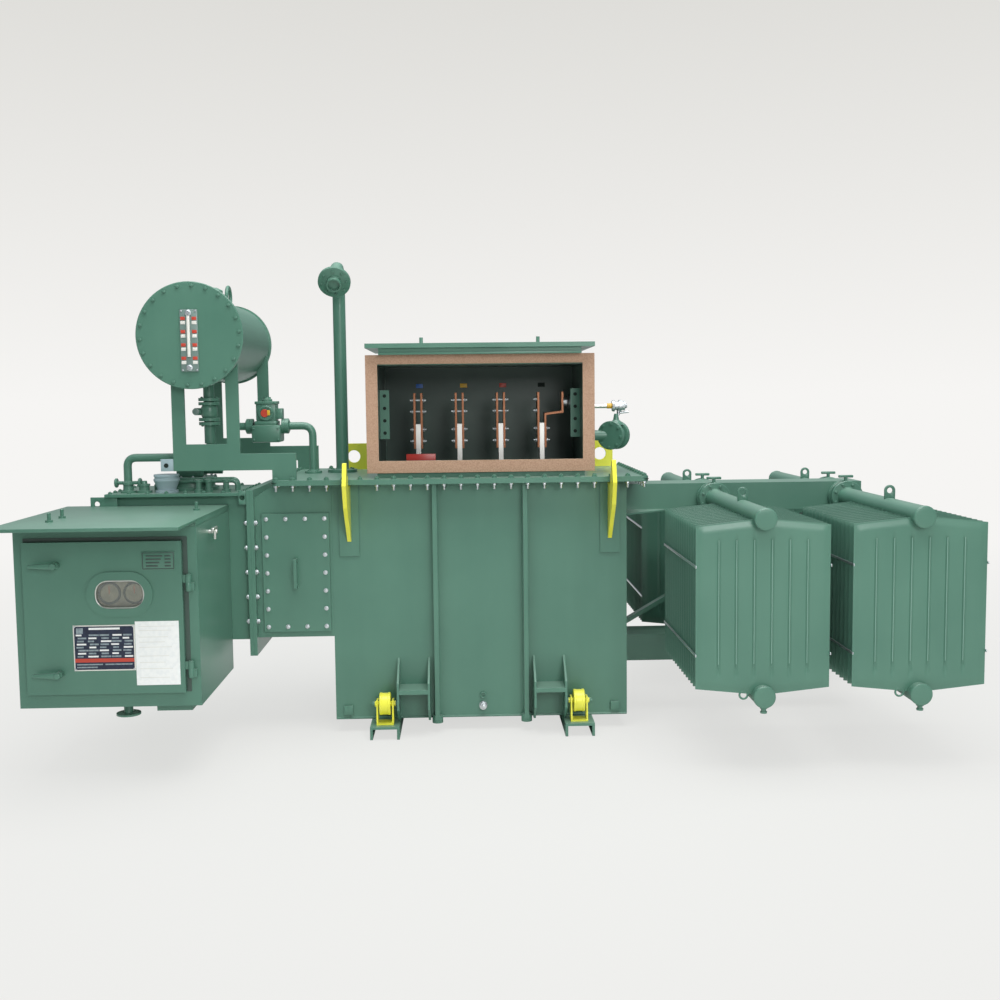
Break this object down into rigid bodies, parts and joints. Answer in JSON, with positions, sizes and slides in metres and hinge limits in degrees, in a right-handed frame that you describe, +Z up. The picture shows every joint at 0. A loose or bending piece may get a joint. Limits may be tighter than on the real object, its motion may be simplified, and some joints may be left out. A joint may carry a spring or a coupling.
{
  "type": "power transformer",
  "caption": "Oil-filled power transformer with an open low voltage cable box, tap changer, conservator, control cabinet and detachable fluted radiators.",
  "frame": {"origin": "on the ground under the middle of the whole transformer's box", "axes": "+X from the tap changer end to the radiator end, +Y from the front with the open cable box to the rear, +Z up"},
  "size_m": [3.795, 2.3716, 2.1239],
  "materials": {
    "green_paint": "semi-gloss enamel",
    "dark_green_paint": "semi-gloss enamel",
    "yellow_paint": "gloss enamel",
    "cork_gasket": "matte cork and rubber",
    "copper_bar": "bright rolled copper",
    "tinned_copper": "tinned",
    "zinc_steel": "bright zinc",
    "gauge_white": "gloss",
    "window_glass": "clear"
  },
  "bodies": {
    "transformer": {"tank_body": "green_paint", "tank_cover": "green_paint", "tank_stiffeners": "green_paint", "jacking_brackets": "green_paint", "base_skids": "green_paint", "roller_brackets": "yellow_paint", "drain_plug": "zinc_steel", "lifting_hooks": "yellow_paint", "hook_pads": "green_paint", "cover_lifting_lugs": "yellow_paint", "lv_box_body": "green_paint", "lv_box_gasket": "cork_gasket", "lv_box_canopy": "green_paint", "lv_side_flats": "green_paint", "lv_palms": "tinned_copper", "lv_bars": "copper_bar", "neutral_stub": "zinc_steel", "filter_valve": "green_paint", "hv_cable_box": "green_paint", "hv_box_cover": "green_paint", "vent_pipe": "green_paint", "conservator_barrel": "green_paint", "conservator_ends": "green_paint", "oil_gauge": "gauge_white", "conservator_supports": "green_paint", "conservator_piping": "green_paint", "gas_relay": "green_paint", "relay_pipe": "green_paint", "throat": "green_paint", "inspection_cover": "green_paint", "tap_changer_tank": "dark_green_paint", "tap_changer_cover": "green_paint", "tap_changer_head": "green_paint", "cabinet_body": "green_paint", "cabinet_roof": "green_paint", "cabinet_glands": "green_paint", "top_header": "green_paint", "bottom_header": "green_paint", "header_braces": "green_paint", "radiator_valves": "green_paint", "radiator_necks": "green_paint", "lv_wall_bushing": "zinc_steel", "tap_changer_cylinder": "green_paint", "tap_changer_bend": "green_paint", "radiator_front_inner": "green_paint", "radiator_front_outer": "green_paint", "radiator_rear_inner": "green_paint", "radiator_rear_outer": "green_paint"},
    "door": {"cabinet_door": "green_paint", "door_window": "window_glass"},
    "upper_handle": {"door_handle_upper": "green_paint"},
    "lower_handle": {"door_handle_lower": "green_paint"},
    "front_left_roller": {"roller_front_left": "yellow_paint"},
    "front_right_roller": {"roller_front_right": "yellow_paint"},
    "rear_left_roller": {"roller_rear_left": "yellow_paint"},
    "rear_right_roller": {"roller_rear_right": "yellow_paint"}
  },
  "joints": [
    {"name": "door_hinge", "type": "hinge", "parent": "transformer", "child": "door", "pos_m": [-1.2255, -0.91875, 0.75], "axis": [0, 0, 1], "range_deg": [0, 110]},
    {"name": "upper_handle_turn", "type": "hinge", "parent": "door", "child": "upper_handle", "pos_m": [-1.7275, -0.92975, 0.867], "axis": [0, 1, 0], "range_deg": [-90, 0]},
    {"name": "lower_handle_turn", "type": "hinge", "parent": "door", "child": "lower_handle", "pos_m": [-1.7275, -0.92975, 0.441], "axis": [0, 1, 0], "range_deg": [-90, 0]},
    {"name": "front_left_roller_spin", "type": "hinge", "parent": "transformer", "child": "front_left_roller", "pos_m": [-0.5125, -0.34475, 0.146], "axis": [1, 0, 0], "continuous": true},
    {"name": "front_right_roller_spin", "type": "hinge", "parent": "transformer", "child": "front_right_roller", "pos_m": [0.3475, -0.34475, 0.146], "axis": [1, 0, 0], "continuous": true},
    {"name": "rear_left_roller_spin", "type": "hinge", "parent": "transformer", "child": "rear_left_roller", "pos_m": [-0.5125, 0.52525, 0.146], "axis": [1, 0, 0], "continuous": true},
    {"name": "rear_right_roller_spin", "type": "hinge", "parent": "transformer", "child": "rear_right_roller", "pos_m": [0.3475, 0.52525, 0.146], "axis": [1, 0, 0], "continuous": true}
  ]
}
